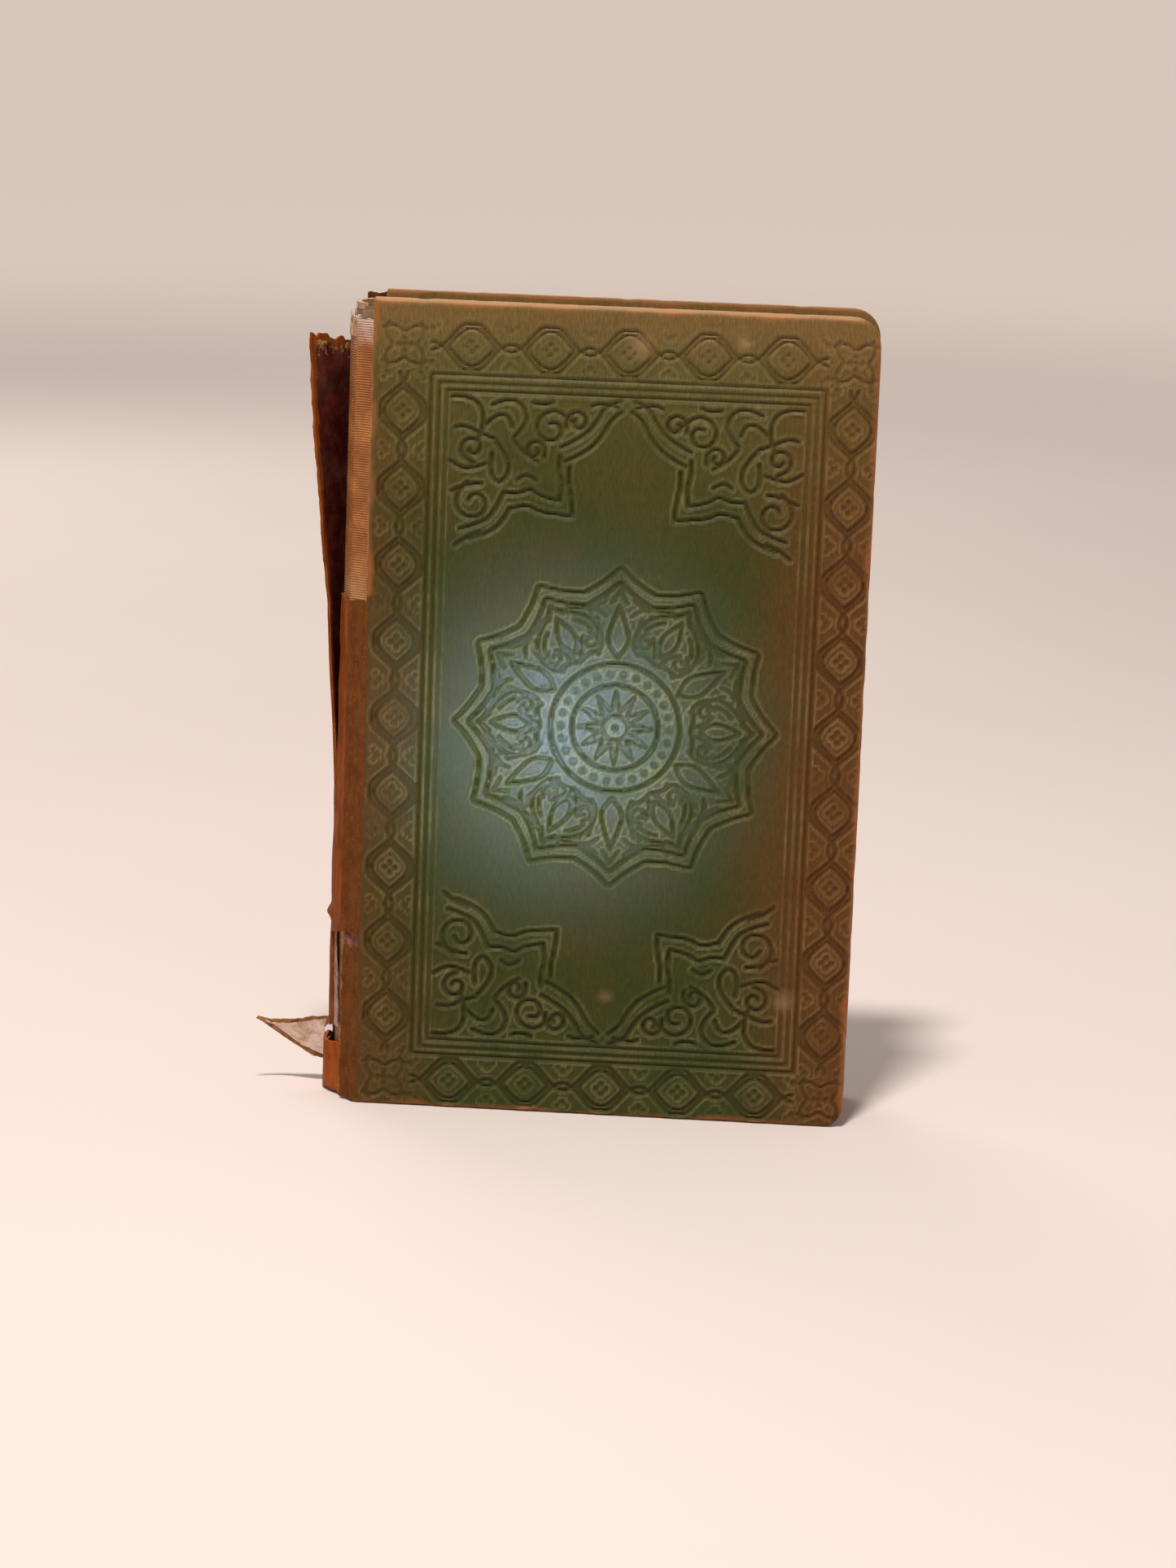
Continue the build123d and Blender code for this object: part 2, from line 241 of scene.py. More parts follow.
def stamped_cloth(name):
    cloth = Finish(name)
    x, _, z = cloth.axes()
    from_left = cloth.less(x, board_left)
    from_right = cloth.less(board_right, x)
    from_top = cloth.less(board_top, z)
    ends = cloth.sums("MINIMUM", from_top, z)
    broad = cloth.noise(28, 5, 0.6)
    blotch = cloth.noise(90, 5, 0.62)
    grain = cloth.noise(1, 5, 0.68, cloth.stretch(3400, 900, 620))
    thread = cloth.noise(1, 3, 0.6, cloth.stretch(1700, 1500, 4200))

    off_middle = cloth.sums("ABSOLUTE", cloth.less(x, board_left + 47 * mm))
    wander = cloth.spread(broad, -26 * mm, off_middle)
    aged = cloth.between(wander, 12 * mm, 38 * mm)
    colour = cloth.mix(aged, (0.032, 0.044, 0.005), (0.090, 0.042, 0.006))
    colour = cloth.over(colour, (0.062, 0.044, 0.006), blotch, 0.32, 0.7, 0.0, 0.5)
    colour = cloth.near(colour, (0.115, 0.038, 0.005), broad, 18, from_right, 7, 36, 0.8)
    colour = cloth.near(colour, (0.112, 0.088, 0.018), broad, 50, from_top, 15, 85, 0.7)
    colour = cloth.near(colour, (0.210, 0.115, 0.038), broad, 14, from_top, 7, 24, 0.6)

    # Painted reflection: a pale blue sheen is painted over the middle; the same distance also makes the cloth
    # smoother there.
    across = cloth.less(x, board_left + 44 * mm)
    upward = cloth.less(z, 84 * mm)
    polish_and_painted_sheen_place = cloth.spread(blotch, 20 * mm, cloth.distance(across, upward))
    colour = cloth.over(colour, (0.105, 0.155, 0.180), polish_and_painted_sheen_place, 12 * mm, 36 * mm, 0.16, 0.0)

    # This attribute holds wear on the raised lips above zero, and groove depth below zero.
    lip_wear_and_groove_shade = cloth.nodes.new("ShaderNodeAttribute")
    lip_wear_and_groove_shade.attribute_name = "lip_wear_and_groove_shade"
    wear = cloth.sums("MULTIPLY", lip_wear_and_groove_shade.outputs["Fac"], cloth.between(blotch, 0.36, 0.64, 0.18, 0.85))
    colour = cloth.mix(wear, colour, cloth.mix(aged, (0.125, 0.140, 0.052), (0.210, 0.125, 0.045)))
    # Painted shade: inside the pressed grooves the cloth is darkened, most at their middle.
    colour = cloth.over(colour, (0.026, 0.022, 0.004), lip_wear_and_groove_shade.outputs["Fac"], -1.0, -0.15, 0.46, 0.0)
    fleck = cloth.between(grain, 0.34, 0.68, 0.80, 1.18)
    colour = cloth.mix(1.0, colour, fleck, "MULTIPLY")

    bare_above = cloth.between(z, 104 * mm, 108 * mm, 6 * mm, 0.0)
    beside_joint = cloth.sums("ADD", from_left, bare_above)
    outer = cloth.sums("MINIMUM", beside_joint, cloth.sums("MINIMUM", from_right, ends))
    tan = cloth.mix(blotch, (0.30, 0.075, 0.014), (0.40, 0.18, 0.06))
    colour = cloth.near(colour, tan, blotch, 4.0, outer, 1.6, 3.4, 0.85)
    colour = cloth.near(colour, (0.34, 0.17, 0.065), thread, 1.0, outer, 0.35, 0.8, 0.8)
    colour = cloth.near(colour, (0.37, 0.215, 0.10), blotch, 0.8, from_top, 0.5, 1.1, 0.75)
    for spot_x, spot_z, size in scuffs:
        aside = cloth.less(x, board_left + spot_x * mm)
        above = cloth.less(z, spot_z * mm)
        away = cloth.distance(aside, above)
        scuffed = (0.33, 0.20, 0.10)
        colour = cloth.near(colour, scuffed, blotch, size * 1.6, away, size * 0.7, size * 1.5, 0.5)

    weave = cloth.sums("ADD", cloth.sums("MULTIPLY", grain, 0.7), cloth.sums("MULTIPLY", thread, 0.5))
    normal = cloth.bump(weave, 0.6, 0.18 * mm)
    normal = cloth.bump(blotch, 0.25, 0.5 * mm, normal)
    polished = cloth.between(polish_and_painted_sheen_place, 14 * mm, 48 * mm, 0.23, 0.44)
    rough = cloth.spread(blotch, 0.12, polished)
    return cloth.finish(colour, rough, normal, 0.2)


cover_cloth = stamped_cloth("stamped cloth")
print("cloth", cover_cloth.name)

# %% [markdown]
# Worn leather
#
# The spine leather is a thin brown skiver, streaked by drying and rubbed to orange where the
# book was held. The joints are darker, and the folded cap at the tail is the brightest. One recipe
# makes all of them, with two browns and a range of roughness for each.


# %% Worn spine leather
def worn_leather(name, dark, light, rough_low, rough_high, upright=1.0, shine=0.13):
    leather = Finish(name)
    cloudy = leather.noise(160, 6, 0.65)
    streak = leather.noise(1, 6, 0.7, leather.stretch(520, 520, 90 * upright))
    fine = leather.noise(2600, 3, 0.6)
    colour = leather.over(dark, light, streak, 0.34, 0.66)
    shadow = tuple(part * 0.6 for part in dark)
    colour = leather.over(colour, shadow, cloudy, 0.52, 0.74, 0.0, 0.5)
    colour = leather.over(colour, (0.46, 0.20, 0.06), fine, 0.6, 0.72, 0.0, 0.4)
    normal = leather.bump(leather.noise(1900, 4, 0.6), 0.35, 0.12 * mm)
    normal = leather.bump(cloudy, 0.3, 0.5 * mm, normal)
    return leather.finish(colour, leather.between(cloudy, 0.35, 0.7, rough_low, rough_high), normal, shine)


spine_brown = worn_leather(
    "spine leather", (0.160, 0.036, 0.005), (0.265, 0.066, 0.011), 0.52, 0.70, 1.0, 0.04
)
joint_brown = worn_leather(
    "joint leather", (0.105, 0.030, 0.005), (0.155, 0.050, 0.009), 0.42, 0.6, 3.0, 0.06
)
cap_brown = worn_leather(
    "tail cap leather", (0.23, 0.045, 0.006), (0.35, 0.085, 0.014), 0.42, 0.62, 2.0, 0.05
)
print("leathers", spine_brown.name, joint_brown.name, cap_brown.name)


# %% [markdown]
# Lining and torn paper
#
# Where leather has been pulled away its inner side shows, dark and blotched with old glue, and
# with a few pale fibres left at its torn top. Paper tears into a paler, woolly surface.


# %% Stained lining and torn paper
def stained_lining():
    lining = Finish("stained lining")
    cloudy = lining.noise(210, 6, 0.7, twist=0.4)
    patch = lining.noise(55, 4, 0.6)
    colour = lining.over((0.034, 0.004, 0.002), (0.105, 0.016, 0.009), cloudy, 0.4, 0.66)
    colour = lining.over(colour, (0.140, 0.055, 0.045), patch, 0.50, 0.66, 0.0, 0.4)
    fray = lining.noise(900, 5, 0.7)
    colour = lining.over(colour, (0.24, 0.12, 0.07), fray, 0.62, 0.74, 0.0, 0.6)
    _, _, z = lining.axes()
    torn_top = lining.spread(fray, 16 * mm, z)
    colour = lining.over(colour, (0.60, 0.31, 0.10), torn_top, 163 * mm, 168 * mm, 0.0, 0.85)
    normal = lining.bump(lining.noise(1400, 5, 0.7), 0.7, 0.3 * mm)
    return lining.finish(colour, 0.82, normal, 0.08)


def torn_paper(name, clean, stain, amount):
    paper = Finish(name)
    cloudy = paper.noise(240, 6, 0.7, twist=0.5)
    fibre = paper.noise(1, 5, 0.7, paper.stretch(900, 900, 2400))
    colour = paper.over(clean, stain, cloudy, 0.5 - amount * 0.3, 0.75 - amount * 0.3)
    colour = paper.over(colour, (0.70, 0.60, 0.55), fibre, 0.55, 0.75, 0.0, 0.5)
    normal = paper.bump(fibre, 0.7, 0.25 * mm)
    return paper.finish(colour, 0.88, normal, 0.2)


lining_dark = stained_lining()
inlay_paper = torn_paper("inlay paper", (0.44, 0.31, 0.29), (0.25, 0.11, 0.08), 0.4)
flap_paper = torn_paper("flap paper", (0.74, 0.58, 0.50), (0.44, 0.27, 0.15), 0.3)
print("linings", lining_dark.name, inlay_paper.name, flap_paper.name)


# %% [markdown]
# Pages
#
# Old pages are cream inside and brown at the rim, with freckles of foxing. The block also shows
# the ends of its leaves as fine lines, which the single end leaves don't need.


# %% Papers of the block
def page_paper(name, cream, brown, layered):
    """Layered paper shows the ends of its leaves as fine lines across the thickness."""
    paper = Finish(name)
    x, _, z = paper.axes()
    in_left = paper.less(x, board_left)
    in_right = paper.less(page_high[0], x)
    in_top = paper.less(page_high[2], z)
    in_low = paper.less(z, page_low[2])
    rim = paper.sums("MINIMUM", in_right, paper.sums("MINIMUM", in_top, in_low))
    broad = paper.noise(40, 5, 0.6)
    toned = paper.spread(broad, 9 * mm, rim)
    colour = paper.over(cream, brown, toned, 3 * mm, 16 * mm, 0.85, 0.12)
    # Painted shade: paper near the spine side is darkened, where the gap by the joint lies in shadow.
    painted_gutter_shade = tuple(part * 0.55 for part in brown)
    colour = paper.over(colour, painted_gutter_shade, in_left, 0.5 * mm, 9 * mm, 0.9, 0.0)
    spots = paper.noise(330, 3, 0.5)
    colour = paper.over(colour, (0.34, 0.17, 0.07), spots, 0.66, 0.74, 0.0, 0.6)
    leaf_edge = paper.noise(1, 2, 0.5, paper.stretch(30, 7600, 30))
    if layered:
        colour = paper.over(colour, (0.25, 0.15, 0.075), leaf_edge, 0.38, 0.62, 0.0, 0.4)
    fibre = paper.noise(1800, 4, 0.6)
    normal = paper.bump(fibre, 0.25, 0.08 * mm)
    if layered:
        normal = paper.bump(leaf_edge, 0.5, 0.1 * mm, normal)
    return paper.finish(colour, 0.86, normal, 0.25)


block_paper = page_paper("page paper", (0.60, 0.47, 0.30), (0.36, 0.22, 0.11), True)
end_paper = page_paper("end paper", (0.62, 0.50, 0.34), (0.40, 0.26, 0.14), False)
print("papers", block_paper.name, end_paper.name)


# %% [markdown]
# Cloth, thread and board
#
# The lining of the spine is a coarse ribbed cloth, soaked with glue, that pales and frays towards
# its top. Tapes, threads and the pulp of the boards are plainer, and share one cloudy recipe.


# %% Lined spine, tapes, thread and board
def ribbed_lining(name, light, dark):
    lined = Finish(name)
    _, _, z = lined.axes()
    wave = lined.add("TexWave", Scale=1, Distortion=1.2, Vector=lined.stretch(200, 200, 620))
    wave.bands_direction = "Z"
    ribs = wave.outputs["Fac"]
    cloudy = lined.noise(150, 6, 0.66)
    colour = lined.over(dark, light, cloudy, 0.36, 0.66)
    # Painted shade: the hollows between the ribs are darkened.
    colour = lined.over(colour, dark, ribs, 0.2, 0.8, 0.5, 0.0)
    colour = lined.near(colour, (0.58, 0.38, 0.19), cloudy, 8, z, 108, 122, 0.25)
    frayed = lined.spread(cloudy, 14 * mm, z)
    colour = lined.over(colour, (0.66, 0.55, 0.48), frayed, 163 * mm, 173 * mm, 0.0, 0.8)
    normal = lined.bump(ribs, 0.6, 0.22 * mm)
    normal = lined.bump(cloudy, 0.4, 0.4 * mm, normal)
    return lined.finish(colour, 0.7, normal, 0.3)


def plain_fibre(name, light, dark, scale):
    fibre = Finish(name)
    cloudy = fibre.noise(scale, 6, 0.65)
    colour = fibre.over(dark, light, cloudy, 0.35, 0.68)
    fuzz = fibre.noise(scale * 6, 4, 0.6)
    return fibre.finish(colour, 0.85, fibre.bump(fuzz, 0.6, 0.2 * mm), 0.25)


spine_lining = ribbed_lining("lined spine", (0.47, 0.19, 0.055), (0.25, 0.085, 0.020))
tape_linen = plain_fibre("linen tape", (0.52, 0.43, 0.29), (0.34, 0.24, 0.13), 500)
headband_thread = plain_fibre("headband thread", (0.60, 0.43, 0.28), (0.30, 0.15, 0.07), 900)
grey_board = plain_fibre("pulp board", (0.36, 0.22, 0.11), (0.19, 0.10, 0.045), 420)
print("fibres", spine_lining.name, tape_linen.name, headband_thread.name, grey_board.name)

# %% [markdown]
# The pattern pressed into the covers
#
# A heated brass stamp presses thin lines into the cloth. The ornament is drawn as smooth curves,
# and every point of a fine cover mesh then sinks by how near the closest line is. The drawing is
# in millimetres, measured from the middle of the cover.

# %% A pen for the pattern
cover_width = (board_right - board_left) / mm
cover_height = board_top / mm
middle_u = 52.0
middle_z = 82.3
deepest_line = 0.34
stamp_lines = []


def draw(points, half_width, depth, closed=False, order=3):
    """Add one smooth line to the drawing."""
    stamp_lines.append((points, closed, half_width, depth, order))


def dot(x, y, half_width, depth):
    draw([(x, y), (x + 0.02, y)], half_width, depth, order=2)


def four_ways(points):
    """The same line in all four corners of the cover."""
    for right in (-1, 1):
        for up in (-1, 1):
            yield [(right * x, up * y) for x, y in points]


def turned(points, angle):
    return [(x * cos(angle) - y * sin(angle), x * sin(angle) + y * cos(angle)) for x, y in points]


def ring_of(radius, count):
    angles = [2 * pi * k / count for k in range(count)]
    return [(radius * cos(angle), radius * sin(angle)) for angle in angles]


def scroll(x, y, radius, turns, start, way):
    """A curl that winds in to its middle."""
    steps = int(turns * 10)
    points = []
    for step in range(steps + 1):
        shrink = radius * (1 - 0.72 * step / steps)
        angle = start + way * 2 * pi * turns * step / steps
        points.append((x + shrink * cos(angle), y + shrink * sin(angle)))
    return points


# %% [markdown]
# Border, frame and corner blocks
#
# Two wavy ribbons cross along every side and leave lozenges between them, each with a small
# flower. A block of four cusps fills every corner. Three straight fillet lines divide this border
# from the plain middle.

# %% Draw the border
fillet_x = 39.9
fillet_y = 70.9
border_x = 45.5
border_y = 76.5
unit_across = 15.96
unit_up = 15.76

for inset in (0.0, 1.6, 3.2):
    half_x = fillet_x - inset
    half_y = fillet_y - inset
    draw([(-half_x, -half_y), (half_x, -half_y), (half_x, half_y), (-half_x, half_y)], 0.46, 0.24, True, 2)


def border_unit(length, put):
    """One repeat of the border, drawn along p and across q, and placed by put."""
    for up in (-1, 1):
        outer_line = []
        inner_line = []
        for step in range(25):
            p = (step / 24 - 0.5) * length
            swing = cos(2 * pi * p / length)
            outer_line.append((p, up * min(2.2 + 3.0 * swing, 4.6)))
            inner_line.append((p, up * min(0.9 + 2.9 * swing, 4.6)))
        draw(put(outer_line), 0.46, 0.28)
        keep_line = [(p, q) for p, q in inner_line if up * q > -0.1]
        draw(put(keep_line), 0.46, 0.30)
        for p in (-length / 2, length / 2):
            dot(*put([(p, up * 3.4)])[0], 0.7, 0.2)
            dot(*put([(p * 0.86, up * 4.1)])[0], 0.5, 0.16)
    for x, y in ((0, 0.95), (0, -0.95), (0.95, 0), (-0.95, 0)):
        dot(*put([(x * 1.1, y * 1.1)])[0], 0.62, 0.24)


for side in (-1, 1):
    for unit in range(-2, 3):
        here = unit * unit_across
        border_unit(unit_across, lambda line: [(p + here, side * border_y + q) for p, q in line])
    for unit in range(-4, 5):
        here = unit * unit_up
        border_unit(unit_up, lambda line: [(side * border_x + q, p + here) for p, q in line])

cusp = [(-4.4, 3.3), (-3.2, 3.9), (-1.4, 3.6), (0, 2.3), (1.4, 3.6), (3.2, 3.9), (4.4, 3.3)]
for right in (-1, 1):
    for up in (-1, 1):
        corner_x = right * border_x
        corner_y = up * border_y
        for quarter in range(4):
            side_line = turned(cusp, quarter * pi / 2)
            draw([(corner_x + x, corner_y + y) for x, y in side_line], 0.46, 0.24)
        for x, y in ring_of(1.3, 4) + [(0, 0)]:
            dot(corner_x + x, corner_y + y, 0.65, 0.24)
print("border lines", len(stamp_lines))

# %% [markdown]
# Corner scrolls
#
# Each inner corner is filled with a spray of ribbons and curls that steps inwards. It is drawn
# once, from the corner of the frame, and repeated in mirror image.

# %% Draw the corner scrolls
corner_lines = [
    [(35.4, 0.9), (32.4, 1.6), (30.8, 5.0), (28.0, 8.4), (23.6, 10.6)],
    [(35.6, 3.0), (33.4, 4.6), (31.8, 8.0), (28.8, 11.4), (24.6, 13.4)],
    [(23.4, 12.4), (23.2, 15.5), (24.2, 18.0), (23.6, 21.6)],
    [(25.4, 14.6), (25.2, 17.5), (26.0, 19.8), (26.3, 24.0)],
    [(12.2, 20.2), (15.0, 20.6), (17.6, 19.2), (19.6, 20.9), (23.6, 21.6)],
    [(13.9, 23.5), (17.0, 22.4), (19.2, 23.9), (22.4, 24.3), (26.3, 24.6)],
    [(13.5, 23.4), (12.0, 26.6), (8.8, 29.0), (5.4, 30.2)],
    [(12.0, 20.6), (10.6, 24.2), (8.0, 26.8), (3.6, 28.0)],
    [(1.2, 1.3), (4.6, 1.0), (7.4, 3.2), (7.8, 7.2), (6.4, 10.2)],
    [(2.0, 7.4), (4.4, 7.0), (7.0, 8.6), (9.8, 9.4)],
    [(9.4, 2.6), (12.6, 1.0), (16.0, 2.6), (16.6, 6.4), (14.0, 9.0)],
    [(8.2, 6.6), (10.2, 4.4), (13.0, 4.6), (13.6, 7.0)],
    [(17.6, 1.8), (19.6, 2.6), (21.6, 1.6)],
    [(10.2, 10.0), (12.6, 12.6), (13.4, 16.0), (11.2, 18.8), (9.0, 16.2), (9.6, 12.4)],
    [(15.0, 17.6), (16.4, 15.8), (18.6, 17.6)],
    [(1.0, 14.2), (3.4, 16.0), (6.6, 15.4), (8.2, 14.6)],
    [(1.6, 20.4), (4.6, 18.8), (7.6, 18.6)],
    [(2.6, 31.6), (4.2, 29.8), (7.6, 28.6)],
    [(14.0, 9.6), (15.8, 12.4), (18.8, 13.8)],
    [(29.6, 2.0), (32.0, 1.0), (34.6, 2.2)],
]
corner_lines += [
    scroll(21.6, 7.0, 4.2, 1.25, -0.4, -1),
    scroll(18.2, 11.6, 2.4, 1.2, 0.6, -1),
    scroll(5.6, 11.6, 2.9, 1.2, 1.5, 1),
    scroll(6.2, 22.6, 4.4, 1.15, -1.9, -1),
    scroll(26.8, 5.4, 2.6, 1.2, 2.6, 1),
]
inner_x = fillet_x - 3.2
inner_y = fillet_y - 3.2
for line in corner_lines:
    for copy in four_ways([(inner_x - s, inner_y - t) for s, t in line]):
        draw(copy, 0.54, deepest_line)
print("corner lines", len(corner_lines), "in each corner")

# %% [markdown]
# The middle ornament
#
# A twelve-pointed double outline holds six leaf panels and six narrow leaves. In the centre a
# small sun sits inside two rings with a row of plain beads between them.

# %% Draw the middle ornament
for tip, valley in ((33.4, 28.6), (30.4, 26.0)):
    outline = []
    for step in range(144):
        phase = abs((step % 12) / 6 - 1)
        reach = valley + (tip - valley) * (0.68 * phase**3 + 0.32 * sin(pi * phase / 2))
        angle = 2 * pi * step / 144
        outline.append((reach * cos(angle), reach * sin(angle)))
    draw(outline, 0.52, deepest_line, True)

panel_lines = [
    [(15.4, 0), (16.4, 2.6), (15.4, 5.0), (18.2, 6.6), (21.6, 6.8), (24.4, 4.6), (26.0, 2.2), (28.0, 0)],
    [(17.4, 0), (19.2, 1.7), (22.4, 1.7), (25.6, 0)],
    [(16.4, 1.0), (18.4, 1.2), (19.8, 3.2)],
    [(20.6, 5.4), (22.6, 4.6), (23.8, 3.0)],
]
for sixth in range(6):
    angle = sixth * pi / 3
    for line in panel_lines:
        draw(turned(line, angle), 0.46, 0.3)
        draw(turned([(x, -y) for x, y in line], angle), 0.46, 0.3)
    for way in (-1, 1):
        draw(turned(scroll(18.4, way * 4.0, 1.9, 1.1, 0.3 * way, way), angle), 0.42, 0.26)
    between = angle + pi / 6
    for way in (-1, 1):
        draw(turned([(14.6, 0), (17.2, way * 2.3), (20.6, way * 1.9), (25.2, 0)], between), 0.46, 0.3)
        draw(turned([(17.6, way * 4.4), (19.8, way * 3.6), (22.8, way * 4.6)], between), 0.42, 0.24)
        draw(turned([(23.2, way * 2.6), (25.0, way * 4.4), (24.4, way * 6.2)], between), 0.42, 0.24)
for twelfth in range(12):
    angle = twelfth * pi / 6
    draw(turned([(25.8, -1.7), (27.2, -0.6), (28.9, 0), (27.2, 0.6), (25.8, 1.7)], angle), 0.42, 0.26)
    for way in (-1, 1):
        draw(turned([(26.6, way * 2.8), (25.2, way * 4.2), (25.0, way * 6.0)], angle), 0.4, 0.24)
    dot(*turned([(23.4, 5.9)], angle)[0], 0.6, 0.2)
    dot(*turned([(15.4, 4.0)], angle)[0], 0.6, 0.2)
for radius in (13.4, 8.9):
    draw(ring_of(radius, 24), 0.52, deepest_line, True)
for x, y in ring_of(11.15, 26):
    dot(x, y, 0.8, 0.2)
for ray in range(12):
    for way in (-1, 1):
        draw(turned([(3.4, way * 0.85), (7.6, 0)], ray * pi / 6), 0.4, 0.3, order=2)
draw(ring_of(2.7, 12), 0.45, 0.28, True)
dot(0, 0, 0.75, deepest_line)
print("stamp lines", len(stamp_lines))

# %% [markdown]
# From drawing to depth
#
# Blender turns every curve into a fine chain of points. A k-d tree then finds the chain point
# nearest to any place on the cover, and its distance decides how deep the cloth lies there.

# %% Chain points of the drawing
def mesh_of(curve):
    """Turn a curve into a mesh, and clear the curve away."""
    holder = bpy.data.objects.new(curve.name, curve)
    mesh = bpy.data.meshes.new_from_object(holder)
    bpy.data.objects.remove(holder)
    bpy.data.curves.remove(curve)
    return mesh


stamp_points = []
stamp_sizes = []
for points, closed, half_width, depth, order in stamp_lines:
    pen = bpy.data.curves.new("stamp line", "CURVE")
    pen.dimensions = "3D"
    pen.resolution_u = 5
    spline = pen.splines.new("NURBS" if order > 2 else "POLY")
    spline.points.add(len(points) - 1)
    for place, (x, y) in zip(spline.points, points):
        place.co = (x, y, 0, 1)
    spline.use_cyclic_u = closed
    if order > 2:
        spline.order_u = order
        spline.use_endpoint_u = not closed
    wire = mesh_of(pen)
    for edge in wire.edges:
        start, end = (wire.vertices[v].co for v in edge.vertices)
        pieces = max(int((end - start).length / 0.2), 1)
        for part in range(pieces + 1):
            stamp_points.append(start.lerp(end, part / pieces))
            stamp_sizes.append((half_width, depth))
    bpy.data.meshes.remove(wire)

stamp_tree = kdtree.KDTree(len(stamp_points))
for index, point in enumerate(stamp_points):
    stamp_tree.insert(point, index)
stamp_tree.balance()


def stamp_depth(u, z):
    """How deep the cloth lies here, and how much of a raised lip it is, from 0 to 1."""
    _, index, away = stamp_tree.find((u - middle_u, z - middle_z, 0))
    half_width, depth = stamp_sizes[index]
    across = away / half_width
    if across < 1.0:
        return depth * (0.5 + 0.5 * cos(pi * across)), 0.0
    if across < 2.2:
        lip = sin(pi * (across - 1.0) / 1.2)
        return -0.42 * depth * lip, lip
    return 0.0, 0.0


print("chain points", len(stamp_points))

# %% [markdown]
# The covers
#
# Each cover is one closed skin round its board. A fine grid is trimmed to the two rounded corners,
# rolled over at the rim and pressed with the pattern. Its border is then drawn down to the inside
# of the cover and closed. Both covers carry the same pattern.


# %% Helpers for pieces
def drift(x, y, z):
    """Smooth noise at a place."""
    return noise.noise(Vector((x, y, z)))


cover_face = 3.28
cover_inside = 0.15
spine_edge = 0.15
tail_corner = 4.5
head_corner = 6.0
rounded_corners = ((tail_corner, tail_corner), (cover_height - head_corner, head_corner))


def finish_piece(bm, name, material, body, sharp=40.0):
    """Turn a bmesh into a smooth-shaded piece that rides on a body."""
    mesh = bpy.data.meshes.new(name)
    bm.to_mesh(mesh)
    bm.free()
    mesh.polygons.foreach_set("use_smooth", [True] * len(mesh.polygons))
    mesh.set_sharp_from_angle(angle=radians(sharp))
    piece = link_object(name, mesh)
    mesh.materials.append(material)
    if body:
        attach(piece, body)
    print(name, len(mesh.polygons), "faces")
    return piece


def corners_around(u, z):
    """The rounded corner that this point lies in, if any, as its middle and its radius."""
    for corner_z, radius in rounded_corners:
        corner_u = cover_width - radius
        beyond = z < corner_z if corner_z < middle_z else z > corner_z
        if u > corner_u and beyond:
            yield corner_u, corner_z, radius


def inside_edge(u, z):
    """Distance in from the cover's rounded outline, in millimetres."""
    for corner_u, corner_z, radius in corners_around(u, z):
        return radius - sqrt((u - corner_u) ** 2 + (z - corner_z) ** 2)
    return min(u - spine_edge, cover_width - u, z, cover_height - z)


def onto_outline(u, z):
    """Bring a point of the grid that is outside a rounded corner back onto its arc."""
    for corner_u, corner_z, radius in corners_around(u, z):
        away = Vector((u - corner_u, z - corner_z))
        if away.length > radius:
            away *= radius / away.length
            return corner_u + away.x, corner_z + away.y
    return u, z


# %% Make the covers
def make_cover(name, side, material, body, node, seed):
    bm = bmesh.new()
    bmesh.ops.create_grid(bm, x_segments=240, y_segments=394, size=0.5)
    lip_wear_and_groove_shade = bm.verts.layers.float.new("lip_wear_and_groove_shade")
    outside = set()
    for vertex in bm.verts:
        u = spine_edge + (vertex.co.x + 0.5) * (cover_width - spine_edge)
        z = (vertex.co.y + 0.5) * cover_height
        if inside_edge(u, z) < -0.001:
            outside.add(vertex)
        vertex.co = (u, z, 0)
    gone = [face for face in bm.faces if all(vertex in outside for vertex in face.verts)]
    bmesh.ops.delete(bm, geom=gone, context="FACES")
    for vertex in bm.verts:
        u, z = onto_outline(vertex.co.x, vertex.co.y)
        edge = max(inside_edge(u, z), 0.0)
        roll = 0.0
        if edge < 1.0:
            roll = 1.0 - sqrt(1.0 - (1.0 - edge) ** 2)
            roll *= 0.5 if u < 1.2 else 0.9
        press, lip = stamp_depth(u, z)
        swell = 0.07 * drift(u / 24, z / 24, seed)
        dent = 0.03 * drift(u / 3.1, z / 3.1, seed + 5)
        worn = max(0.25 * drift(u / 4.0, z / 4.0, seed + 9), 0.0) if edge < 0.9 else 0.0
        out = cover_face - roll - 1.5 * press + swell * min(edge / 6, 1) + dent * min(edge / 2, 1)
        pull = (Vector((middle_u, middle_z)) - Vector((u, z))).normalized() * worn
        vertex.co = (board_left + (u + pull.x) * mm, side * (hinge_y + out * mm), (z + pull.y) * mm)
        # Lip wear above zero; below zero the groove depth, which the cloth darkens as painted shade.
        vertex[lip_wear_and_groove_shade] = lip - max(press, 0.0) / deepest_line
    outline = [edge for edge in bm.edges if edge.is_boundary]
    walls = bmesh.ops.extrude_edge_only(bm, edges=outline)["geom"]
    lower = [item for item in walls if isinstance(item, bmesh.types.BMVert)]
    for vertex in lower:
        vertex.co.y = side * (hinge_y + cover_inside * mm)
    lower_edges = [edge for edge in bm.edges if edge.is_boundary]
    bmesh.ops.contextual_create(bm, geom=lower_edges)
    bmesh.ops.recalc_face_normals(bm, faces=bm.faces)
    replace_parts(finish_piece(bm, name, material, body, 60), node)


make_cover("front_cover_skin", -1, cover_cloth, "front_cover", "front_cover_cloth", 1.0)
make_cover("back_cover_skin", 1, cover_cloth, "back_cover", "back_cover_cloth", 40.0)

# %% [markdown]
# Sheets wrapped to shape
#
# Leather, lining and paper are all thin sheets here. `wrap_sheet` lays out a flat grid, moves
# every point to its place on the book, and gives the sheet its thickness. A piece of noise along
# an edge makes it look torn.


# %% A helper for thin sheets
to_spine = (-1, 0, 0)
to_front = (0, -1, 0)
to_back = (0, 1, 0)


